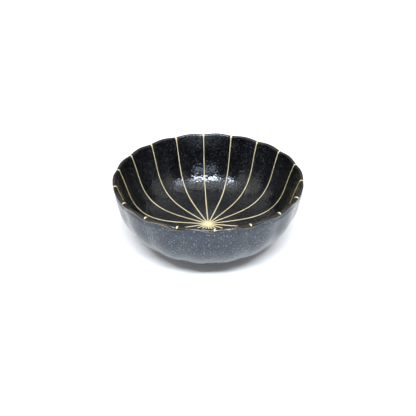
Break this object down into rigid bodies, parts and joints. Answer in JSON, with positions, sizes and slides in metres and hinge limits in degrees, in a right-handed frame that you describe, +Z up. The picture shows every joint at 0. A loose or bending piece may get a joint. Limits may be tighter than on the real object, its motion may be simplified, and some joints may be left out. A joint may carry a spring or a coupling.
{
  "type": "sauce dish",
  "caption": "Round fluted stoneware sauce dish in black glaze, with a steep lobed wall, a rounded wavy lip, painted cream lines that run from the floor's middle to the lip, and a low foot ring.",
  "frame": {"origin": "centre of the foot ring's underside, on the surface that the dish stands on", "axes": "+Z up along the axis of the bowl; a crease between two lobes, with its painted line, lies on +Y"},
  "size_m": [0.1098, 0.1092, 0.0435],
  "materials": {
    "black_glaze": "glossy black glaze, blue-grey on the outside, with fine pale specks, fired on stoneware",
    "cream_line": "opaque cream overglaze line, satin, painted by hand",
    "bare_clay": "unglazed fired stoneware, matt and slightly rough"
  },
  "bodies": {
    "root": {"dish": "black_glaze"}
  },
  "joints": []
}
